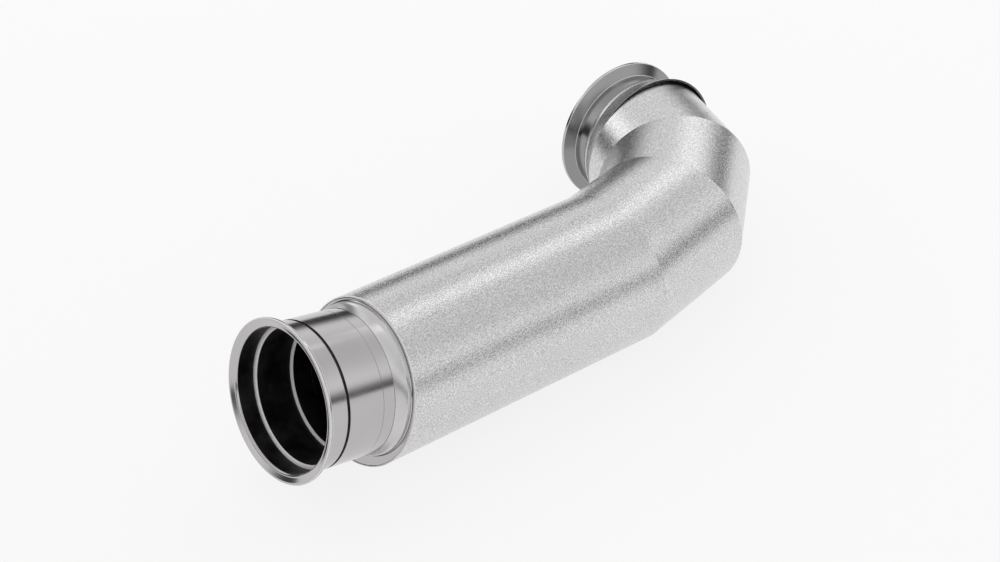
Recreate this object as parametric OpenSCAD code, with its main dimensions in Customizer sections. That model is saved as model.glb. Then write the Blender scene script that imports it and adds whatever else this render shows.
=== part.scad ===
// Insulated exhaust pipe: a bent gas pipe wrapped in insulation, inside a jacket of a straight
// skin and three mitred gores, with bare end tubes and a V-band flange at each end.
// The jacket's axes lie in one horizontal plane. The straight skin runs along +X, the elbow
// turns left, and the far flange faces +Y. The near end tube leaves the straight skin at an
// angle, with its mouth raised. Z is zero at the lowest point of the far cap.

/* [Layout] */
// Length of the jacket's straight axis, from the near bend to the first mitre
straight_len = 247; // [200:1:400]
// Length of the first gore's axis
gore_1_len = 90; // [84:1:110]
// Length of the second gore's axis
gore_2_len = 77; // [74:1:90]
// Length of the third gore's axis
gore_3_len = 75; // [72:1:84]
// Length of the near end tube's axis, from its mouth to the near bend
near_len = 104; // [100:1:130]
// Distance from the last mitre to the far flange's face
far_len = 41; // [38:1:60]
// Upward tilt of the near mouth
near_tilt = 16; // [10:0.5:20]
// Sideways swing of the near end tube
near_swing = 8; // [2:0.5:12]

/* [Jacket] */
// Radial height of the jacket's skin above the end tubes
jacket_rise = 9.6; // [9:0.1:14]
// Thickness of the skin
skin_wall = 1.2; // [0.8:0.1:1.5]
// Depth of the jacket's near end face, behind the mouth
near_face_depth = 86; // [84:0.5:88]
// Distance of the jacket's far end before the last mitre
far_cap_overlap = 12; // [9:0.5:14]
// Clearance of the insulation wraps inside the skin
wrap_fit = 0.6; // [0.2:0.1:6]

/* [Tubes] */
// Outside diameter of the bare end tubes
end_tube_od = 127; // [126:0.5:128]
// Wall of the bare end tubes
end_tube_wall = 1.5; // [1.2:0.1:2]
// Wall of the stepped sleeve inside each end tube
sleeve_wall = 3.7; // [3:0.1:4.2]
// Wall of the gas pipe
gas_pipe_wall = 2; // [1.5:0.1:3]
// Wall of the stub at the gas pipe's near end
stub_wall = 2.9; // [2:0.1:3.5]
// Radius of the gas pipe's near bend
near_bend_r = 180; // [150:5:190]
// Gap at the root of the welds at both ends of the gas pipe's near bend
root_gap = 0.1; // [0.05:0.01:0.3]
// Radial clearance between tubes that slide into each other
slip_fit = 0.1; // [0.05:0.01:0.15]
// Clearance of the insulation wraps to the tubes beside them
wrap_gap = 0.3; // [0.2:0.05:0.5]

/* [Near end depths] */
// Depth of the sleeve's end behind the near mouth
near_sleeve_depth = 20; // [16:0.5:21]
// Length of the near sleeve
near_sleeve_len = 48; // [44:1:52]
// Depth of the gas pipe's end behind the near mouth
near_gas_depth = 55; // [50:0.5:58]
// Length of the near flange's neck, from its face
near_neck_len = 22.4; // [22:0.2:23]
// Width of the groove between the near neck and the end tube
near_groove_w = 2.6; // [1:0.1:3]
// Depth of the scribed seam line on the near end tube
seam_depth = 59; // [56:0.5:64]
// Width of that seam line
seam_w = 0.5; // [0.3:0.1:1]
// Radial depth of that seam line
seam_h = 0.25; // [0.1:0.05:0.4]
// Length of the near end tube past the jacket's end face
near_tube_extra = 10; // [6:0.5:12]

/* [Near cap] */
// Length of the cap's rim inside the skin
cap_rim_len = 8; // [5:0.5:9]
// Length of the cap's hub on the end tube, ahead of its face
cap_hub_len = 15; // [12:0.5:18]
// Radial height of the hub's front edge above the end tube
hub_edge = 0.5; // [0.3:0.1:1]
// Rise of the hub over its length
hub_taper = 1.8; // [0:0.1:2.5]
// Radius of the rounded corner between the hub and the face
root_round = 3.5; // [2:0.1:4]
// Sheet thickness of the end caps
cap_sheet = 1.5; // [1:0.1:2]

/* [Far end depths] */
// Length of the far flange, from its face to the end tube
far_neck_len = 12; // [11.5:0.5:14]
// Depth of the far sleeve's end behind the far face
far_sleeve_depth = 14; // [12:0.5:18]
// Depth of the gas pipe's far end behind the far face
far_gas_depth = 32; // [28:0.5:34]
// Depth of the far cap's front edge behind the far face
far_cap_depth = 28; // [24:0.5:30]
// Length of the far end tube past the cap's back edge
far_tube_extra = 4; // [2:0.5:8]
// Distance from the last mitre to the far sleeve's inner end
far_sleeve_setback = 1; // [0.5:0.5:3]

/* [Far cap] */
// Radial height of the far cap's back edge above the end tube
far_cap_rise = 13.3; // [12.5:0.1:16]
// Length of the far cap's narrow hub band
far_hub_len = 6; // [4:0.5:8]
// Radial height of the hub band's front edge above the end tube
far_hub_step = 3.3; // [2:0.1:4]
// Rise of the hub band over its length
far_hub_rise = 1.7; // [0:0.1:2.5]

/* [Flanges] */
// Wall of both flanges' necks
neck_wall = 2.1; // [2.1:0.05:2.5]
// Radial height of the near flange's lip above the end tube
near_lip_rise = 6.7; // [5:0.1:8.5]
// Width of the near lip's cylindrical edge
near_lip_w = 2.6; // [2:0.1:4]
// Radial height of the far flange's lip above the end tube
far_lip_rise = 11; // [9:0.1:13]
// Width of the far lip's cylindrical edge
far_lip_w = 3.8; // [3:0.1:5]
// Slope of the flanges' rear flanks, from the plane of the face
flank_angle = 28; // [15:1:32]
// Radius of the rounded inner edge of each mouth
mouth_round = 2.6; // [1:0.1:3]
// Width of the flat land round the outer edge of each face
face_land = 1.6; // [1:0.1:2.2]
// Depth of each face's dished middle behind that land
face_dish = 1.8; // [0.8:0.1:2.4]
// Length of the socket in the near neck that holds the sleeve's end
socket_len = 2.6; // [2:0.1:4]
// Radial clearance of the sleeve's end in that socket
socket_fit = 0.3; // [0.1:0.05:0.4]
// Bevel on the lips' outer edges
lip_bevel = 0.6; // [0.3:0.1:1]

/* [Hidden] */

$fn = 96;
eps = 0.01;

// Colours
bare_steel = [0.62, 0.60, 0.60];
skin_steel = [0.75, 0.75, 0.75];
wrap_grey = [0.80, 0.78, 0.72];

// Radii of the nested tubes
end_tube_r = end_tube_od / 2;
jacket_r = end_tube_r + jacket_rise;
skin_bore_r = jacket_r - skin_wall;
wrap_r = skin_bore_r - wrap_fit;
end_bore_r = end_tube_r - end_tube_wall;
sleeve_r = end_bore_r - slip_fit;
sleeve_bore_r = sleeve_r - sleeve_wall;
gas_r = sleeve_bore_r - slip_fit;
gas_bore_r = gas_r - gas_pipe_wall;
stub_bore_r = gas_r - stub_wall;
flange_bore_r = end_tube_r - neck_wall;

// Corner points of the jacket's axis, with turns of 15, 30, 30 and 15 degrees, each rounded to
// a hundredth so that the runs and bends of the gas pipe meet exactly
half_turn = 15;
gore_turn = 2 * half_turn;
heading_1 = half_turn;
heading_2 = heading_1 + gore_turn;
heading_3 = heading_2 + gore_turn;
heading_far = heading_3 + half_turn;
function hundredths(x) = round(x * 100) / 100;
function step(from, len, heading) = [
    hundredths(from[0] + len * cos(heading)),
    hundredths(from[1] + len * sin(heading)),
    0
];
near_bend = [0, 0, 0];
mitre_1 = step(near_bend, straight_len, 0);
mitre_2 = step(mitre_1, gore_1_len, heading_1);
mitre_3 = step(mitre_2, gore_2_len, heading_2);
mitre_4 = step(mitre_3, gore_3_len, heading_3);
far_face = step(mitre_4, far_len, heading_far);

// Near end tube: the unit vector from the near bend out to the mouth
near_out = [-cos(near_tilt) * cos(near_swing), -cos(near_tilt) * sin(near_swing), sin(near_tilt)];
near_mouth = near_bend + near_len * near_out;

// Near bend of the gas pipe, in the plane of the end tube and the straight axis
near_bend_angle = acos(-near_out[0]);
near_roll = atan2(-near_out[2], -near_out[1]);
near_tangent = hundredths(near_bend_r * tan(near_bend_angle / 2));

// Elbow of the gas pipe: a quarter ring that ends square to the far end tube
elbow_r = mitre_4[1];
elbow_start = mitre_4[0] - elbow_r;

// End depths that follow from the jacket
near_tube_end = near_face_depth + near_tube_extra;
far_cap_back = far_len + far_cap_overlap;
far_tube_end = far_cap_back + far_tube_extra;
far_sleeve_end = far_len - far_sleeve_setback;

// Outer box of the pipe, which sets the origin
near_lip_r = end_tube_r + near_lip_rise;
far_lip_r = end_tube_r + far_lip_rise;
far_cap_r = end_tube_r + far_cap_rise;
box_low_x = near_mouth[0] - near_lip_r * norm([near_out[1], near_out[2]]);
box_high_x = far_face[0] + max(far_cap_r, far_lip_r);
box_low_y = min(near_mouth[1] - near_lip_r * norm([near_out[0], near_out[2]]), -jacket_r);
box_high_y = far_face[1];
axis_height = max(far_cap_r, far_lip_r, jacket_r);
origin_shift = [-(box_low_x + box_high_x) / 2, -(box_low_y + box_high_y) / 2, axis_height];

// A size larger than the whole pipe, for cutting blocks
far_beyond = 1000;

// Near end frame: +Z points out of the near mouth and its face is at zero
module at_near_mouth() {
    translate(near_mouth)
        rotate([0, 90 - near_tilt, 180 + near_swing])
            children();
}

// Far end frame: +Z points out of the far mouth and its face is at zero
module at_far_mouth() {
    translate(far_face)
        rotate([-90, 0, 0])
            children();
}

// A ring turned from a profile of [radius, depth behind the mouth] points
module turned(profile) {
    rotate_extrude()
        polygon([for (p = profile) [p[0], -p[1]]]);
}

// A tube between two depths behind a mouth
module end_sleeve(outer_r, inner_r, depth, end_depth) {
    translate([0, 0, -end_depth])
        difference() {
            cylinder(r = outer_r, h = end_depth - depth);
            translate([0, 0, -eps])
                cylinder(r = inner_r, h = end_depth - depth + 2 * eps);
        }
}

// Everything on the far side of a plane that stands at a point and faces a heading
module beyond(point, heading) {
    translate(point)
        rotate([0, 0, heading])
            translate([0, -far_beyond / 2, -far_beyond / 2])
                cube(far_beyond);
}

// Everything deeper than a given depth behind the near mouth
module deeper_than(depth) {
    at_near_mouth()
        translate([-far_beyond / 2, -far_beyond / 2, -far_beyond - depth])
            cube(far_beyond);
}

// A rod along the jacket's axis from one corner, long enough to be cut at both mitres
module long_rod(from, heading, len, r) {
    translate(from)
        rotate([0, 0, heading])
            translate([-2 * jacket_r, 0, 0])
                rotate([0, 90, 0])
                    cylinder(r = r, h = len + 4 * jacket_r);
}

// A solid gore of the jacket between its two mitre planes
module gore_body(from, to, heading, len, low_plane, high_plane, r) {
    difference() {
        intersection() {
            long_rod(from, heading, len, r);
            beyond(from, low_plane);
        }
        beyond(to, high_plane);
    }
}

module gore_1_body(r) {
    gore_body(mitre_1, mitre_2, heading_1, gore_1_len, heading_1 / 2, (heading_1 + heading_2) / 2, r);
}

module gore_2_body(r) {
    gore_body(mitre_2, mitre_3, heading_2, gore_2_len,
        (heading_1 + heading_2) / 2, (heading_2 + heading_3) / 2, r);
}

// The third gore ends square to the far end tube, where the far cap begins
module gore_3_body(r) {
    gore_body(mitre_3, mitre_4 - [0, far_cap_overlap, 0], heading_3, gore_3_len,
        (heading_2 + heading_3) / 2, heading_far, r);
}

// The straight part of the jacket, from a depth behind the near mouth to the first mitre
module straight_body(r, depth) {
    difference() {
        intersection() {
            long_rod(near_bend, 0, straight_len, r);
            deeper_than(depth);
        }
        beyond(mitre_1, heading_1 / 2);
    }
}

// The round section of the gas pipe, or of the rod that clears a way for it.
// A start angle turns the point where the circle begins, so that neighbours begin at one line.
module pipe_section(r, bore_r, start) {
    rotate(start)
        difference() {
            circle(r = r);
            if (bore_r > 0) circle(r = bore_r);
        }
}

// A straight stretch of the gas pipe along its local +Z
module pipe_run(r, bore_r, start, len) {
    linear_extrude(height = len)
        pipe_section(r, bore_r, start);
}

// A bend of the gas pipe about its local Z, from its local +X
module pipe_bend(r, bore_r, start, bend_r, angle) {
    rotate_extrude(angle = angle)
        translate([bend_r, 0])
            pipe_section(r, bore_r, start);
}

// Near bend frame: the bend's centre, with local Z as its axis
module at_near_bend(turn) {
    rotate([near_roll, 0, 0])
        translate([near_tangent, -near_bend_r, 0])
            rotate([0, 0, 90 + turn])
                children();
}

// The gas pipe's route round its near bend
module near_bend_route(r, bore_r) {
    at_near_bend(0)
        pipe_bend(r, bore_r, 180 - near_roll, near_bend_r, near_bend_angle);
}

// The gas pipe's route from the near bend to the elbow
module straight_route(r, bore_r) {
    translate([near_tangent + root_gap, 0, 0])
        rotate([0, 90, 0])
            pipe_run(r, bore_r, -90, elbow_start - near_tangent - root_gap);
}

// The gas pipe's route round the elbow
module elbow_route(r, bore_r) {
    translate([elbow_start, elbow_r, 0])
        rotate([0, 0, -90])
            pipe_bend(r, bore_r, 0, elbow_r, heading_far);
}

// The gas pipe's route from the elbow to its far end
module far_route(r, bore_r) {
    at_far_mouth()
        translate([0, 0, -far_len])
            pipe_run(r, bore_r, 0, far_len - far_gas_depth);
}

// A V-band flange: a dished face inside a flat land, a bevelled lip, a sloping rear flank and a
// plain neck. The neck's end can hold a socket, wider than the bore, for the end of a sleeve.
module vband_flange(lip_r, lip_w, neck_len, socket = 0) {
    flank_len = (lip_r - end_tube_r) * tan(flank_angle);
    round_steps = 8;
    neck_end = socket > 0
        ? [[sleeve_r + socket_fit, neck_len], [sleeve_r + socket_fit, neck_len - socket],
            [flange_bore_r, neck_len - socket]]
        : [[flange_bore_r, neck_len]];
    mouth_arc = [
        for (i = [0:round_steps])
            let (a = 90 * i / round_steps)
            [flange_bore_r + mouth_round * (1 - cos(a)), face_dish + mouth_round * (1 - sin(a))]
    ];
    turned(concat(
        neck_end,
        mouth_arc,
        [
            [lip_r - lip_bevel - face_land, 0],
            [lip_r - lip_bevel, 0],
            [lip_r, lip_bevel],
            [lip_r, lip_w],
            [end_tube_r, lip_w + flank_len],
            [end_tube_r, neck_len]
        ]
    ));
}

module near_flange() {
    color(bare_steel)
        at_near_mouth()
            vband_flange(near_lip_r, near_lip_w, near_neck_len, socket_len);
}

// Bridges the groove between the neck and the end tube, and makes the first step in the mouth
module near_sleeve() {
    color(bare_steel)
        at_near_mouth()
            end_sleeve(sleeve_r, sleeve_bore_r, near_sleeve_depth, near_sleeve_depth + near_sleeve_len);
}

// The bare tube, with a fine scribed line where it grips the sleeve
module near_tube() {
    color(bare_steel)
        at_near_mouth()
            difference() {
                end_sleeve(end_tube_r, end_bore_r, near_neck_len + near_groove_w, near_tube_end);
                end_sleeve(jacket_r, end_tube_r - seam_h, seam_depth, seam_depth + seam_w);
            }
}

// Closes the jacket round the near tube: a tapered hub, a rounded root, a flat face and a rim
module near_cap() {
    hub_bore_r = end_tube_r + slip_fit;
    root_r = hub_bore_r + hub_edge + hub_taper;
    root_steps = 6;
    root_arc = [
        for (i = [0:root_steps])
            let (a = 90 * i / root_steps)
            [root_r + root_round * (1 - cos(a)), near_face_depth - root_round * (1 - sin(a))]
    ];
    fit_r = skin_bore_r - slip_fit;
    blank_r = 2 * jacket_r;
    color(bare_steel) {
        intersection() {
            at_near_mouth()
                turned(concat(
                    [
                        [hub_bore_r, near_face_depth + cap_sheet],
                        [hub_bore_r, near_face_depth - cap_hub_len],
                        [hub_bore_r + hub_edge, near_face_depth - cap_hub_len]
                    ],
                    root_arc,
                    [
                        [blank_r, near_face_depth],
                        [blank_r, near_face_depth + cap_sheet]
                    ]
                ));
            long_rod(near_bend, 0, straight_len, fit_r);
        }
        intersection() {
            difference() {
                long_rod(near_bend, 0, straight_len, fit_r);
                long_rod(near_bend, 0, straight_len, fit_r - cap_sheet);
            }
            difference() {
                deeper_than(near_face_depth);
                deeper_than(near_face_depth + cap_rim_len);
            }
        }
    }
}

// The straight stub in the near sleeve, welded to the near bend across a small root gap
module gas_stub() {
    color(bare_steel)
        at_near_mouth()
            end_sleeve(gas_r, stub_bore_r, near_gas_depth, near_len - near_tangent - root_gap);
}

module gas_bend() {
    color(bare_steel)
        near_bend_route(gas_r, gas_bore_r);
}

// The long straight pipe and the elbow that ends in the far sleeve
module gas_pipe() {
    color(bare_steel)
        union() {
            straight_route(gas_r, gas_bore_r);
            elbow_route(gas_r, gas_bore_r);
            far_route(gas_r, gas_bore_r);
        }
}

// Wraps stay clear of the skins and of the gas pipe by a small gap
module wrap_near() {
    color(wrap_grey)
        difference() {
            straight_body(wrap_r, near_tube_end + wrap_gap);
            beyond([near_tangent - wrap_gap, 0, 0], 0);
            near_bend_route(gas_r + wrap_gap, 0);
        }
}

module wrap_straight() {
    color(wrap_grey)
        difference() {
            intersection() {
                straight_body(wrap_r, near_tube_end + wrap_gap);
                beyond([near_tangent, 0, 0], 0);
            }
            long_rod(near_bend, 0, straight_len, gas_r + wrap_gap);
        }
}

// The gas pipe bends smoothly inside the mitred gores, so its wraps are thicker on one side
module wrap_gore_1() {
    color(wrap_grey)
        difference() {
            gore_1_body(wrap_r);
            straight_route(gas_r + wrap_gap, 0);
            elbow_route(gas_r + wrap_gap, 0);
        }
}

module wrap_gore_2() {
    color(wrap_grey)
        difference() {
            gore_2_body(wrap_r);
            elbow_route(gas_r + wrap_gap, 0);
        }
}

module wrap_gore_3() {
    color(wrap_grey)
        difference() {
            gore_3_body(wrap_r);
            elbow_route(gas_r + wrap_gap, 0);
            at_far_mouth()
                translate([0, 0, -far_tube_end - wrap_gap])
                    cylinder(r = end_tube_r + wrap_gap, h = far_beyond);
        }
}

module skin_straight() {
    color(skin_steel)
        difference() {
            straight_body(jacket_r, near_face_depth);
            long_rod(near_bend, 0, straight_len, skin_bore_r);
        }
}

module skin_gore_1() {
    color(skin_steel)
        difference() {
            gore_1_body(jacket_r);
            long_rod(mitre_1, heading_1, gore_1_len, skin_bore_r);
        }
}

module skin_gore_2() {
    color(skin_steel)
        difference() {
            gore_2_body(jacket_r);
            long_rod(mitre_2, heading_2, gore_2_len, skin_bore_r);
        }
}

module skin_gore_3() {
    color(skin_steel)
        difference() {
            gore_3_body(jacket_r);
            long_rod(mitre_3, heading_3, gore_3_len, skin_bore_r);
        }
}

// A conical cap: a hub band on the far tube and a skirt that flares to its open back edge
module far_cap() {
    hub_bore_r = end_tube_r + slip_fit;
    hub_front_r = end_tube_r + far_hub_step;
    hub_back_r = hub_front_r + far_hub_rise;
    hub_back = far_cap_depth + far_hub_len;
    color(skin_steel)
        at_far_mouth()
            turned([
                [hub_bore_r, far_cap_depth],
                [hub_front_r, far_cap_depth],
                [hub_back_r, hub_back],
                [far_cap_r, far_cap_back],
                [far_cap_r - cap_sheet, far_cap_back],
                [hub_back_r - cap_sheet, hub_back + cap_sheet],
                [hub_bore_r, hub_back + cap_sheet]
            ]);
}

module far_tube() {
    color(bare_steel)
        at_far_mouth()
            end_sleeve(end_tube_r, end_bore_r, far_neck_len, far_tube_end);
}

module far_sleeve() {
    color(bare_steel)
        at_far_mouth()
            end_sleeve(sleeve_r, sleeve_bore_r, far_sleeve_depth, far_sleeve_end);
}

module far_flange() {
    color(bare_steel)
        at_far_mouth()
            vband_flange(far_lip_r, far_lip_w, far_neck_len);
}

translate(origin_shift) {
    near_flange();
    near_sleeve();
    near_tube();
    near_cap();
    gas_stub();
    gas_bend();
    gas_pipe();
    wrap_near();
    wrap_straight();
    wrap_gore_1();
    wrap_gore_2();
    wrap_gore_3();
    skin_straight();
    skin_gore_1();
    skin_gore_2();
    skin_gore_3();
    far_cap();
    far_tube();
    far_sleeve();
    far_flange();
}
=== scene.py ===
# An insulated exhaust pipe on a plain floor: a bent gas pipe inside a wrapped, skinned jacket,
# bare polished end tubes, and a V-band flange at each end. Points are in metres, and the
# outlines of turned pieces are corners of (radius, depth behind the mouth) in millimetres.
from math import atan2, cos, inf, pi, radians, sin, sqrt, tan

import bmesh
import bpy
from mathutils import Matrix, Vector


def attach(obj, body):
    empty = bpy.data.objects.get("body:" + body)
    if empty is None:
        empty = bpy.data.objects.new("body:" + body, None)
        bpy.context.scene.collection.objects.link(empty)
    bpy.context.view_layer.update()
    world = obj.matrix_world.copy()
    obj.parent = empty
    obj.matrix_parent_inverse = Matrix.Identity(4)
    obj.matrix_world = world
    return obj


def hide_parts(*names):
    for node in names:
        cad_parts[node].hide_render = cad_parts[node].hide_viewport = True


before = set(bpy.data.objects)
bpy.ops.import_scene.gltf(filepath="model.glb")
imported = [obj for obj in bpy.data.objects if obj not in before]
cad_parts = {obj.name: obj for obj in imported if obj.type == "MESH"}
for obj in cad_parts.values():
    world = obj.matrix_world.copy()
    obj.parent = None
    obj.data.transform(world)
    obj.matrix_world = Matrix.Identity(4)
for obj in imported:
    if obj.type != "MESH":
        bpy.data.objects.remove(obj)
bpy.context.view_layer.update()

# Gas pipe
# The inner pipe is drawn stainless tube, darker inside. Its ends show as the deeper step in each
# mouth. It lies in the sleeves, and bends once near its mouth and once round the elbow.
MM = 0.001
NEAR_REACH = 104
# Where the jacket's axis meets the near tube's.
near_bend = Vector((-182.042, -53.849, 76.8)) * MM
near_tilt, near_swing = radians(16), radians(8)
near_out = Vector((-cos(near_tilt) * cos(near_swing),
                   -cos(near_tilt) * sin(near_swing),
                   sin(near_tilt)))
near_mouth = near_bend + near_out * NEAR_REACH * MM
to_near_mouth = (Matrix.Translation(near_mouth) @ Matrix.Rotation(pi + near_swing, 4, "Z")
                 @ Matrix.Rotation(pi / 2 - near_tilt, 4, "Y"))


class Value:
    """A node's output, which adds, subtracts and multiplies like a number."""

    def __init__(self, nodes, socket):
        self.nodes = nodes
        self.socket = socket

    def maths(self, operation, first, second):
        return self.nodes.node("ShaderNodeMath", {"operation": operation}, {0: first, 1: second})

    def __add__(self, other):
        return self.maths("ADD", self, other)

    def __radd__(self, other):
        return self.maths("ADD", other, self)

    def __sub__(self, other):
        return self.maths("SUBTRACT", self, other)

    def __rsub__(self, other):
        return self.maths("SUBTRACT", other, self)

    def __mul__(self, other):
        return self.maths("MULTIPLY", self, other)

    def __rmul__(self, other):
        return self.maths("MULTIPLY", other, self)


class Nodes:
    """A node tree, with one method that adds any node to it."""

    def __init__(self, tree):
        self.tree = tree

    def node(self, kind, settings=None, inputs=None, output=0, stops=None):
        made = self.tree.nodes.new(kind)
        for key, value in (settings or {}).items():
            setattr(made, key, value)
        if stops:
            ramp = made.color_ramp.elements
            while len(ramp) < len(stops):
                ramp.new(0.5)
            for element, (place, tone) in zip(ramp, stops):
                element.position = place
                element.color = (*tone, 1) if isinstance(tone, tuple) else (tone, tone, tone, 1)
        for key, value in (inputs or {}).items():
            self.feed(made.inputs[key], value)
        return Value(self, made.outputs[output])

    def feed(self, socket, value):
        if isinstance(value, Value):
            self.tree.links.new(value.socket, socket)
        else:
            socket.default_value = value


class Finish(Nodes):
    """A material on the Principled shader."""

    def __init__(self, name, **plain):
        self.material = bpy.data.materials.new(name)
        self.material.use_nodes = True
        super().__init__(self.material.node_tree)
        self.shader = self.tree.nodes["Principled BSDF"]
        for key, value in plain.items():
            self.feed(self.shader.inputs[key.replace("_", " ")], value)

    def grain(self, scale, detail, roughness=0.5):
        """A noise of that many cells to the metre, fixed to the object."""
        place = self.node("ShaderNodeTexCoord", output="Object")
        return self.node("ShaderNodeTexNoise", {}, {"Vector": place, "Scale": scale, "Detail": detail,
                                                    "Roughness": roughness})

    def blend(self, value, low, dark, high, pale):
        """A colour that goes from dark, where the value is low, to pale, where it is high."""
        return self.node("ShaderNodeValToRGB", {}, {"Fac": value}, stops=[(low, dark), (high, pale)])

    def dress(self, colour, rough, height, rise, strength=1.0):
        """Feeds the shader its colour, its roughness, and a relief that rises by metres."""
        relief = self.node("ShaderNodeBump", {}, {"Strength": strength, "Distance": rise, "Height": height})
        for key, value in (("Base Color", colour), ("Roughness", rough), ("Normal", relief)):
            self.feed(self.shader.inputs[key], value)


def spread(value, low, high):
    """The value from 0 to 1 moved to lie from low to high."""
    return value * (high - low) + low


# A flatter edge than this is shaded smooth. The bevels' strips meet the long faces more sharply,
# so the long faces stay straight in their shading.
CREASE = radians(16)


def finish_mesh(name, bm, material, others=()):
    """Turns a finished bmesh into a smooth piece with crisp creases, which rides on the pipe."""
    for face in bm.faces:
        face.smooth = True
    for edge in bm.edges:
        edge.smooth = len(edge.link_faces) != 2 or edge.calc_face_angle() < CREASE
    mesh = bpy.data.meshes.new(name)
    bm.to_mesh(mesh)
    bm.free()
    piece = bpy.data.objects.new(name, mesh)
    bpy.context.scene.collection.objects.link(piece)
    for finish in (material, *others):
        mesh.materials.append(finish)
    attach(piece, "root")
    return piece


ROUND_STEPS = 240


def spun(outline):
    """A closed ring turned about Z from corners of (radius, depth) in millimetres."""
    bm = bmesh.new()
    corners = [bm.verts.new((radius * MM, 0, -depth * MM)) for radius, depth in outline]
    sides = [bm.edges.new(pair) for pair in zip(corners, corners[1:] + corners[:1])]
    bmesh.ops.spin(bm, geom=corners + sides, cent=(0, 0, 0), axis=(0, 0, 1), angle=2 * pi,
                   steps=ROUND_STEPS, use_merge=True)
    bmesh.ops.remove_doubles(bm, verts=bm.verts, dist=1e-6)
    bmesh.ops.recalc_face_normals(bm, faces=bm.faces)
    return bm


# The map is as wide as the end tube is round.
MAP_R = 63.5


def lay_map(bm):
    """Writes each corner's way round the local Z axis and its depth, in metres, as the map."""
    layer = bm.loops.layers.uv.verify()
    for face in bm.faces:
        middle = face.calc_center_median()
        facing = atan2(middle.y, middle.x)
        for loop in face.loops:
            at = loop.vert.co
            turn = atan2(at.y, at.x) - facing
            turn -= round(turn / (2 * pi)) * 2 * pi
            radius = sqrt(at.x ** 2 + at.y ** 2)
            loop[layer].uv = ((turn + facing) * MAP_R * MM, radius - at.z)


SHARP = radians(28)


def soften(bm, width):
    """Rounds every sharp edge."""
    sharp = [edge for edge in bm.edges
             if len(edge.link_faces) == 2 and edge.calc_face_angle() > SHARP]
    bmesh.ops.bevel(bm, geom=sharp, offset=width * MM, offset_type="OFFSET", segments=2,
                    profile=0.5, affect="EDGES", material=-1, clamp_overlap=True)


def paint(bm, zones):
    """Gives the faces in each zone of (finish, radii from and to, depths from and to) its finish."""
    for index, (_, low_r, high_r, low_depth, high_depth) in enumerate(zones, 1):
        for face in bm.faces:
            middle = face.calc_center_median() / MM
            radius = sqrt(middle.x ** 2 + middle.y ** 2)
            if low_r < radius < high_r and low_depth < -middle.z < high_depth:
                face.material_index = index
    return [zone[0] for zone in zones]


# Zones reach this far past the faces that they take.
HAIR = 0.02


def bore_zone(radius):
    """The zone of a bore's own surface, which is drawn dark."""
    return dark_and_painted_shade.material, 0, radius + HAIR, 0, inf


def turned(name, outline, place, material, round_edge=0.0, zones=()):
    """A piece that is turned from one outline and placed in its mouth."""
    bm = spun(outline)
    if round_edge:
        soften(bm, round_edge)
    lay_map(bm)
    others = paint(bm, zones)
    bmesh.ops.transform(bm, matrix=place, verts=bm.verts)
    return finish_mesh(name, bm, material, others)


# A dark steel for the bores and the gas pipe, which is also laid in grooves and gaps as painted shade.
dark_and_painted_shade = Finish("dark_steel_and_painted_shade", Metallic=0.9)
blotches = dark_and_painted_shade.grain(60.0, 5.0)
dark_and_painted_shade.dress(dark_and_painted_shade.blend(blotches, 0.35, (0.026, 0.024, 0.024), 0.7, (0.085, 0.080, 0.080)),
             spread(blotches, 0.30, 0.50), dark_and_painted_shade.grain(500.0, 3.0), rise=0.0001, strength=0.6)
for part in ("gas_bend", "gas_pipe"):
    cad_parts[part].data.materials.clear()
    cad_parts[part].data.materials.append(dark_and_painted_shade.material)

# A light matt cut steel for the ring ends, which is also laid on thin strips along edges as painted
# highlights.
cut_steel_and_highlight = Finish("cut_steel_and_painted_highlight", Metallic=0.15)
scratches = cut_steel_and_highlight.grain(900.0, 3.0)
cut_steel_and_highlight.dress(cut_steel_and_highlight.blend(scratches, 0.3, (0.78, 0.77, 0.76), 0.7, (0.90, 0.89, 0.88)),
             spread(scratches, 0.40, 0.60), scratches, rise=0.00005, strength=0.5)

GAS_R, STUB_BORE_R = 58.1, 55.2
STUB_FRONT, STUB_BACK = 55, 75.6
STUB_BEVEL = 1.5
RING_ROUND = 0.2
stub = turned("stub_near",
              [(STUB_BORE_R, STUB_FRONT + STUB_BEVEL), (STUB_BORE_R + STUB_BEVEL, STUB_FRONT),
               (GAS_R, STUB_FRONT), (GAS_R, STUB_BACK), (STUB_BORE_R, STUB_BACK)],
              to_near_mouth, cut_steel_and_highlight.material, RING_ROUND, [bore_zone(STUB_BORE_R)])
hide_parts("gas_stub")

# Insulation wraps
# Mats of matt ceramic fibre are wound round the gas pipe, one to each stretch of the jacket.
# They are hidden by the skins.
fibre = Finish("ceramic_fibre")
fibre.dress((0.80, 0.78, 0.72, 1), 0.95, fibre.grain(900.0, 4.0), rise=0.0004, strength=0.8)
for part in ("wrap_near", "wrap_straight", "wrap_gore_1", "wrap_gore_2", "wrap_gore_3"):
    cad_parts[part].data.materials.clear()
    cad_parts[part].data.materials.append(fibre.material)

# Near sleeve and near tube
# The sleeve is a thick ring that slides into the bare end tube and bridges the groove behind
# the flange. Its end is the first bright step in the mouth. The tube is smooth, with a seam line.
def steel(name, tone, warmth, rough):
    """Bare stainless steel with fine lathe lines, which follow the map, and a cloudy polish."""
    finish = Finish(name, Metallic=1.0)
    clouds = finish.grain(18.0, 3.0)
    flat = finish.node("ShaderNodeTexCoord", output="UV")
    drawn = finish.node("ShaderNodeMapping", {}, {"Vector": flat, "Scale": (6.0, 2400.0, 1)})
    lines = finish.node("ShaderNodeTexNoise", {}, {"Vector": drawn, "Scale": 1.0, "Detail": 3.0})
    shade = spread(clouds, tone * 0.94, tone * 1.06)
    mixed = {"Red": shade, "Green": shade * (1 - warmth), "Blue": shade * (1 - warmth * 0.6)}
    polish = spread(clouds, rough * 0.8, rough * 1.2) + spread(lines, -0.03, 0.03)
    finish.dress(finish.node("ShaderNodeCombineColor", {}, mixed), polish, lines, rise=1.5e-6)
    return finish.material


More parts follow.
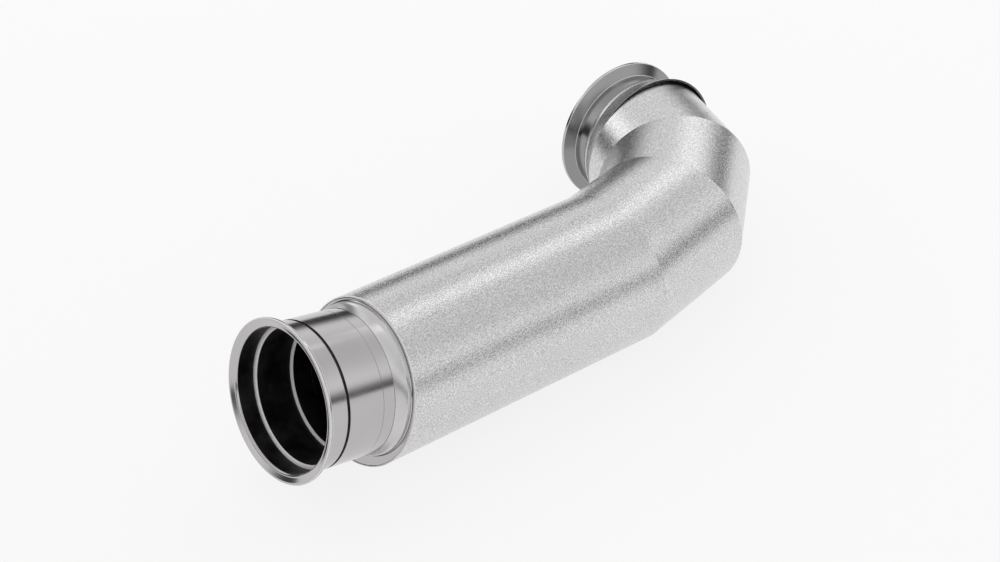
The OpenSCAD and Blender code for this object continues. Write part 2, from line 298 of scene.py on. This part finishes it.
polished = steel("polished_steel", tone=0.50, warmth=0.03, rough=0.16)
TUBE_R, TUBE_BORE_R = 63.5, 62.0
SLEEVE_R, SLEEVE_BORE_R = 61.9, 58.2
SLEEVE_FRONT, SLEEVE_BACK = 20, 68
SLEEVE_BEVEL = 1.2
# The sleeve's outside, seen in the groove behind the flange, is drawn in the dark finish: painted shade in
# the groove.
sleeve_outside_shade = (dark_and_painted_shade.material, SLEEVE_R - HAIR, inf, 0, inf)
sleeve = turned("sleeve_near",
                [(SLEEVE_BORE_R, SLEEVE_FRONT + SLEEVE_BEVEL), (SLEEVE_BORE_R + SLEEVE_BEVEL, SLEEVE_FRONT),
                 (SLEEVE_R, SLEEVE_FRONT), (SLEEVE_R, SLEEVE_BACK), (SLEEVE_BORE_R, SLEEVE_BACK)],
                to_near_mouth, cut_steel_and_highlight.material, RING_ROUND,
                [bore_zone(SLEEVE_BORE_R), sleeve_outside_shade])
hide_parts("near_sleeve")

TUBE_FRONT, TUBE_BACK = 25, 96
SEAM = 59.0
seam_floor_r = TUBE_R - 0.25
tube = turned("tube_near",
              [(TUBE_BORE_R, TUBE_FRONT), (TUBE_R, TUBE_FRONT),
               (TUBE_R, SEAM), (seam_floor_r, SEAM + 0.1), (seam_floor_r, SEAM + 0.4), (TUBE_R, SEAM + 0.5),
               (TUBE_R, TUBE_BACK), (TUBE_BORE_R, TUBE_BACK)],
              to_near_mouth, polished)
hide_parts("near_tube")

# Flanges
# Each V-band flange is turned from bar: a dished face inside a narrow land, a rounded inner edge,
# a lip that the clamp grips, a sloping flank and a short neck that is welded to the tube.

# The jacket's axis is a chain of straight runs of (length, heading) in one level plane, with its
# points rounded to hundredths, as in the part's source. The far flange sits past its end.
RUNS = ((247, 0), (90, 15), (77, 45), (75, 75))
FAR_HEADING, FAR_REACH = 90, 41


def level_way(heading):
    """The level direction of a heading in degrees, also the normal of an upright plane across it."""
    return Vector((cos(radians(heading)), sin(radians(heading)), 0))


chain = [Vector((0, 0, 0))]
for length, heading in RUNS:
    end = chain[-1] + level_way(heading) * length
    chain.append(Vector((round(end.x, 2), round(end.y, 2), 0)))
axis_points = [near_bend + point * MM for point in chain]
far_face = axis_points[-1] + level_way(FAR_HEADING) * FAR_REACH * MM
to_far_mouth = Matrix.Translation(far_face) @ Matrix.Rotation(-pi / 2, 4, "X")

FLANGE_BORE_R = 61.4
MOUTH_ROUND, MOUTH_STEPS = 2.6, 8
FACE_LAND, FACE_DISH = 1.6, 1.8
BEVEL = 0.9
FLANK_SLOPE = tan(radians(28))
FLANGE_ROUND = 0.35
POLISHED_RIM = 0.7


def mouth_edge():
    """The rounded inner edge of a mouth, from the bore to the face."""
    turns = [radians(90) * step / MOUTH_STEPS for step in range(MOUTH_STEPS + 1)]
    return [(FLANGE_BORE_R + MOUTH_ROUND * (1 - cos(a)), FACE_DISH + MOUTH_ROUND * (1 - sin(a)))
            for a in turns]


def flange(name, lip_r, lip_w, neck, neck_end, place, body_finish, node):
    """A flange from its lip, its neck and the corners of its neck's end, nearest the bore first."""
    flank_foot = lip_w + (lip_r - TUBE_R) * FLANK_SLOPE
    face = [(lip_r - BEVEL - FACE_LAND, 0), (lip_r - BEVEL, 0)]
    lip = [(lip_r, BEVEL), (lip_r, lip_w)]
    outline = neck_end[::-1] + mouth_edge() + face + lip + [(TUBE_R, flank_foot), (TUBE_R, neck)]
    # On the far flange the polished rim is lighter than the tinted body: a painted highlight along the lip.
    rim = (polished, lip_r - POLISHED_RIM, inf, 0, inf)
    # The lip's bevel, its back edge and the foot of the flank are drawn in the light cut steel: painted
    # highlights along these edges.
    lip_bevel = (cut_steel_and_highlight.material, lip_r - BEVEL, inf, HAIR, BEVEL)
    lip_back = (cut_steel_and_highlight.material, lip_r - 0.5, inf, lip_w - 0.3, lip_w + 0.5)
    foot = (cut_steel_and_highlight.material, TUBE_R - HAIR, TUBE_R + 0.5, flank_foot - 0.5, flank_foot + 0.4)
    zones = [bore_zone(FLANGE_BORE_R), rim, lip_bevel, lip_back, foot]
    piece = turned(name, outline, place, body_finish, FLANGE_ROUND, zones)
    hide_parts(node)


NEAR_NECK, SOCKET_FRONT = 22.4, 19.8
FAR_NECK = 12.0
socket_r = SLEEVE_R + 0.3
socket = [(FLANGE_BORE_R, SOCKET_FRONT), (socket_r, SOCKET_FRONT), (socket_r, NEAR_NECK)]
plain_end = [(FLANGE_BORE_R, FAR_NECK)]
tinted = steel("heat_tinted_steel", tone=0.31, warmth=0.02, rough=0.18)
flange("flange_near", 70.2, 2.6, NEAR_NECK, socket, to_near_mouth, polished, "near_flange")
flange("flange_far", 74.5, 3.8, FAR_NECK, plain_end, to_far_mouth, tinted, "far_flange")

# Near cap
# The jacket's near end is a formed sheet: a satin hub on the tube, a rounded root, a flat face
# square to the tube, and a rim that fits inside the skin. A fine groove runs round the root.
satin = Finish("satin_pressed_steel", Metallic=0.95)
shimmer = satin.grain(30.0, 3.0)
satin.dress(satin.blend(shimmer, 0.3, (0.57, 0.56, 0.563), 0.7, (0.69, 0.68, 0.683)),
            spread(shimmer, 0.24, 0.32), satin.grain(700.0, 3.0), rise=0.00003, strength=0.5)

FACE_DEPTH = 86.0
CAP_SHEET = 1.5
CAP_BORE_R = TUBE_R + 0.1
JACKET_R, SKIN_BORE_R = 73.1, 71.9
RIM_R, RIM_LENGTH = SKIN_BORE_R - 0.1, 8
HUB_FRONT, HUB_LENGTH = 71, 11.5
HUB_R, HUB_RISE = 63.8, 3.2
GROOVE_R, GROOVE_DEPTH = 67.55, 0.5
GROOVE_WIDTH = 0.4


def onto_jacket(at, radius):
    """Moves a corner straight out from the tube's axis until it lies on the jacket's cylinder."""
    out_way = Vector((at.x, at.y, 0)).normalized()
    start = to_near_mouth @ Vector((0, 0, at.z)) - near_bend
    way = to_near_mouth.to_3x3() @ out_way
    a = way.y ** 2 + way.z ** 2
    b = start.y * way.y + start.z * way.z
    c = start.y ** 2 + start.z ** 2 - (radius * MM) ** 2
    reach = (-b + sqrt(b * b - a * c)) / a
    return out_way * reach + Vector((0, 0, at.z))


sweep = [radians(turn) for turn in range(0, 79, 6)]
back = [(CAP_BORE_R, FACE_DEPTH + CAP_SHEET), (CAP_BORE_R, HUB_FRONT)]
hub = [(HUB_R + HUB_RISE * (1 - cos(a)), HUB_FRONT + HUB_LENGTH * sin(a)) for a in sweep] + [(66.7, 82.4)]
root = [(66.75, 83.8), (67.0, 85.1), (67.5, 85.9)]
groove = [(GROOVE_R, FACE_DEPTH + GROOVE_DEPTH), (GROOVE_R + GROOVE_WIDTH, FACE_DEPTH + GROOVE_DEPTH),
          (GROOVE_R + GROOVE_WIDTH + 0.05, FACE_DEPTH)]
# The rim's corners are spun at marked radii and then moved out to the jacket, one ring each.
RIM_MARK = 100
rim = [(RIM_R - 0.7, FACE_DEPTH), (RIM_R - 0.2, FACE_DEPTH + 0.25), (RIM_R, FACE_DEPTH + 0.8),
       (RIM_R, FACE_DEPTH + RIM_LENGTH), (RIM_R - CAP_SHEET, FACE_DEPTH + RIM_LENGTH),
       (RIM_R - CAP_SHEET, FACE_DEPTH + CAP_SHEET)]
marked_rim = [(RIM_MARK + ring, depth) for ring, (_, depth) in enumerate(rim)]
bm = spun(back + hub + root + groove + marked_rim)
for vert in bm.verts:
    ring = round(sqrt(vert.co.x ** 2 + vert.co.y ** 2) / MM) - RIM_MARK
    if ring >= 0:
        vert.co = onto_jacket(vert.co, rim[ring][0])
bmesh.ops.recalc_face_normals(bm, faces=bm.faces)
lay_map(bm)
satin_hub = (satin.material, HUB_R - 0.1, 66.9, HUB_FRONT - 0.1, FACE_DEPTH)
# A thin strip of the light cut steel at the hub's outer end is a painted highlight line.
hub_highlight_line = (cut_steel_and_highlight.material, 66.34, 66.69, 82, 82.6)
# The groove's floor is drawn in the dark finish: painted shade in the groove.
groove_floor_shade = (dark_and_painted_shade.material, GROOVE_R - 0.04, GROOVE_R + GROOVE_WIDTH + 0.04,
                FACE_DEPTH + 0.01, FACE_DEPTH + 1)
others = paint(bm, [satin_hub, hub_highlight_line, groove_floor_shade])
bmesh.ops.transform(bm, matrix=to_near_mouth, verts=bm.verts)
cap = finish_mesh("cap_near", bm, polished, others)
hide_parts("near_cap")

# Jacket skins
# The jacket is finely embossed stainless foil, rolled into one straight tube and three gores
# that meet at mitres. Its tiny random dimples scatter the light into a bright grain, and specks
# painted into its colour add glints and shade.
embossed = Finish("embossed_skin", Metallic=1.0)
dimples = embossed.grain(820.0, 2.0, roughness=0.6)
patches = embossed.grain(9.0, 2.0)
# The colour's specks follow the dimples: painted glints and shade of the embossing, on top of the relief.
glint_and_shade_specks = embossed.node("ShaderNodeMapRange", {}, {"Value": dimples, "From Min": 0.36, "From Max": 0.64})
tone = spread(patches, 0.62, 0.68) + spread(glint_and_shade_specks, -0.16, 0.16)
foil_grey = embossed.node("ShaderNodeCombineColor", {}, {"Red": tone, "Green": tone, "Blue": tone})
embossed.dress(foil_grey, spread(glint_and_shade_specks, 0.15, 0.22), dimples, rise=0.00024)

SHEET_EDGE, ROUND_EDGE = 0.1, 0.7
EDGE_MIDDLE = 0.3


def skin(part, start, heading, length, low_cut, high_cut, front_edge):
    """A rolled tube about a level axis. Each of its ends slides onto a plane of (point, normal)."""
    bm = spun([(SKIN_BORE_R, 0), (JACKET_R - front_edge, 0),
               (JACKET_R - front_edge * EDGE_MIDDLE, -front_edge * EDGE_MIDDLE), (JACKET_R, -front_edge),
               (JACKET_R, SHEET_EDGE - length), (JACKET_R - SHEET_EDGE, -length), (SKIN_BORE_R, -length)])
    # A front edge that is rounded further than the sheet's own is drawn in the light cut steel: a painted
    # highlight along the rim.
    bright = [(cut_steel_and_highlight.material, SKIN_BORE_R, JACKET_R - 0.01, -front_edge, front_edge)]
    others = paint(bm, bright if front_edge > SHEET_EDGE else [])
    turn = Matrix.Rotation(radians(heading), 4, "Z") @ Matrix.Rotation(pi / 2, 4, "Y")
    bmesh.ops.transform(bm, matrix=Matrix.Translation(start) @ turn, verts=bm.verts)
    way = level_way(heading)
    for vert in bm.verts:
        along = (vert.co - start).dot(way)
        at_start = along < length / 2 * MM
        point, normal = low_cut if at_start else high_cut
        # The corner's place on the square end, without the small step of a rounded edge.
        square = vert.co - way * (along if at_start else along - length * MM)
        vert.co += way * ((point - square).dot(normal) / way.dot(normal))
    bmesh.ops.recalc_face_normals(bm, faces=bm.faces)
    piece = finish_mesh("skin_of_" + part, bm, embossed.material, others)
    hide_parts("skin_" + part)


FAR_LAP = 12
headings = [heading for _, heading in RUNS]
mitres = [(point, level_way((before + after) / 2))
          for point, before, after in zip(axis_points[1:], headings, headings[1:])]
near_cut = (near_mouth - near_out * FACE_DEPTH * MM, near_out)
far_cut = (axis_points[-1] - level_way(FAR_HEADING) * FAR_LAP * MM, level_way(FAR_HEADING))
cuts = [near_cut, *mitres, far_cut]
for step, part in enumerate(("straight", "gore_1", "gore_2", "gore_3")):
    length, heading = RUNS[step]
    edge = ROUND_EDGE if part == "straight" else SHEET_EDGE
    skin(part, axis_points[step], heading, length, cuts[step], cuts[step + 1], edge)

# Far cap, far tube and far sleeve
# The far cap is spun from the same embossed foil: a narrow hub band on the short bare tube,
# then a skirt that flares over the last gore and ends in an open back edge. The tube and its
# sleeve are turned like the near ones.
FAR_CAP_FRONT, BAND_LENGTH = 28, 6
BAND_R, BAND_BACK = 68.5, 34.2
SKIRT_R, SKIRT_BACK = 76.8, 53.0
inner_back = FAR_CAP_FRONT + BAND_LENGTH + CAP_SHEET
band = [(CAP_BORE_R, FAR_CAP_FRONT), (66.4, FAR_CAP_FRONT), (66.8, FAR_CAP_FRONT + 0.3),
        (68.4, 33.6), (68.2, 33.9), (BAND_R, BAND_BACK)]
skirt = [(SKIRT_R, SKIRT_BACK), (SKIRT_R - CAP_SHEET, SKIRT_BACK),
         (BAND_R - CAP_SHEET, inner_back), (CAP_BORE_R, inner_back)]
# The skirt's back edge and a band inside it are drawn in the dark finish: painted shade in the gap over the
# last gore.
skirt_edge_shade = (dark_and_painted_shade.material, SKIRT_R - CAP_SHEET, SKIRT_R, SKIRT_BACK - HAIR, SKIRT_BACK + HAIR)
skirt_inside_shade = (dark_and_painted_shade.material, 70, 71.9, 43, 46)
far_cap = turned("cap_far", band + skirt, to_far_mouth, embossed.material, RING_ROUND,
                 [skirt_edge_shade, skirt_inside_shade])
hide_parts("far_cap")

FAR_TUBE_BACK = 57
FAR_SLEEVE_FRONT, FAR_SLEEVE_BACK = 14, 40
FAR_SLEEVE_ROUND = 0.25
far_tube = turned("tube_far", [(TUBE_BORE_R, FAR_NECK), (TUBE_R, FAR_NECK),
                               (TUBE_R, FAR_TUBE_BACK), (TUBE_BORE_R, FAR_TUBE_BACK)],
                  to_far_mouth, tinted, 0, [bore_zone(TUBE_BORE_R)])
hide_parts("far_tube")
far_sleeve = turned("sleeve_far", [(SLEEVE_BORE_R, FAR_SLEEVE_FRONT), (SLEEVE_R, FAR_SLEEVE_FRONT),
                                   (SLEEVE_R, FAR_SLEEVE_BACK), (SLEEVE_BORE_R, FAR_SLEEVE_BACK)],
                    to_far_mouth, cut_steel_and_highlight.material, FAR_SLEEVE_ROUND,
                    [bore_zone(SLEEVE_BORE_R)])
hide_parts("far_sleeve")

# Floor
# A wide pale floor. The camera sees it near white with the pipe's soft shadow, and the metal
# mirrors the same pale floor and the same shadow.
FLOOR_HALF = 8.0
WHITE_SHARE = 0.8
bm = bmesh.new()
bmesh.ops.create_grid(bm, x_segments=1, y_segments=1, size=FLOOR_HALF)
floor_mesh = bpy.data.meshes.new("floor")
bm.to_mesh(floor_mesh)
bm.free()
floor = bpy.data.objects.new("floor", floor_mesh)
bpy.context.scene.collection.objects.link(floor)
floor_finish = Finish("floor_white", Base_Color=(0.9, 0.9, 0.9, 1), Roughness=0.9)
to_camera = floor_finish.node("ShaderNodeLightPath", output="Is Camera Ray")
mirrored = floor_finish.node("ShaderNodeLightPath", output="Is Glossy Ray")
through = floor_finish.node("ShaderNodeLightPath", output="Is Transmission Ray")
white = floor_finish.node("ShaderNodeEmission", {}, {"Color": (1, 1, 1, 1), "Strength": 1.0})
own = Value(floor_finish, floor_finish.shader.outputs[0])
share = (to_camera + mirrored + through) * WHITE_SHARE
seen = floor_finish.node("ShaderNodeMixShader", {}, {"Fac": share, 1: own, 2: white})
floor_finish.feed(floor_finish.tree.nodes["Material Output"].inputs["Surface"], seen)
floor_mesh.materials.append(floor_finish.material)

# Studio light
# A bright, even sky with a dull horizon gives the broad soft highlights. Three soft boxes add
# the bands: one long box overhead, one to the right, and one behind on the left.
SKY_LEAN = 0.10
# Each is a height, from 0 straight down over 0.5 level to 1 straight up, and the sky's tone there.
SKY = [(0.0, 0.1), (0.55, 0.04), (0.595, 0.30), (0.63, 0.90), (0.66, 1.07),
       (0.71, 1.03), (0.76, 0.88), (0.81, 0.76), (0.90, 0.74), (1.0, 0.85)]
world = bpy.data.worlds.new("studio")
bpy.context.scene.world = world
world.use_nodes = True
sky = Nodes(world.node_tree)
sky_way = sky.node("ShaderNodeTexCoord", output="Generated")
way_up = sky.node("ShaderNodeSeparateXYZ", {}, {0: sky_way}, output="Z")
way_back = sky.node("ShaderNodeSeparateXYZ", {}, {0: sky_way}, output="Y")
height = (way_up - way_back * SKY_LEAN) * 0.5 + 0.5
sky_tone = sky.node("ShaderNodeValToRGB", {}, {"Fac": height}, stops=SKY)
backdrop = sky.tree.nodes["Background"]
sky.feed(backdrop.inputs["Color"], sky_tone)
sky.feed(backdrop.inputs["Strength"], 1.0)


def soft_box(name, aim, way, distance, size, power):
    """An area lamp that looks at a spot from the given way. The camera doesn't see it."""
    lamp = bpy.data.lights.new(name, "AREA")
    lamp.shape = "RECTANGLE"
    lamp.size, lamp.size_y = size
    lamp.energy = power
    made = bpy.data.objects.new(name, lamp)
    bpy.context.scene.collection.objects.link(made)
    way = Vector(way).normalized()
    made.location = Vector(aim) + way * distance
    made.rotation_euler = way.to_track_quat("Z", "Y").to_euler()
    made.visible_camera = False


soft_box("overhead", (0, 0, 0.08), (0.44, 0.17, 0.88), distance=3.0, size=(0.35, 2.0), power=2.4)
soft_box("right", (0.18, 0, 0.08), (0.74, 0.32, 0.58), distance=1.0, size=(0.50, 0.50), power=0.30)
soft_box("behind_left", (0.22, 0.1, 0.08), (-0.22, 0.89, 0.41), distance=1.5, size=(0.45, 0.4), power=0.55)

# Camera
# The camera looks down on the pipe from in front of its mouth, at the photograph's angle.
camera_data = bpy.data.cameras.new("camera")
camera_data.sensor_width = 36.0
camera_data.lens = 59.13
camera_data.clip_end = 50.0
camera = bpy.data.objects.new("camera", camera_data)
bpy.context.scene.collection.objects.link(camera)
CAMERA_FROM_BEND = (-486.8, -991.9, 870.3)
camera.location = near_bend + Vector(CAMERA_FROM_BEND) * MM
forward = Vector((0.4300, 0.6917, -0.5802)).normalized()
up_way = Vector((0.3674, 0.4529, 0.8123))
right_way = forward.cross(up_way).normalized()
up_way = right_way.cross(forward)
camera.rotation_euler = Matrix((right_way, up_way, -forward)).transposed().to_euler()
bpy.context.scene.camera = camera
bpy.context.scene.view_settings.view_transform = "Standard"
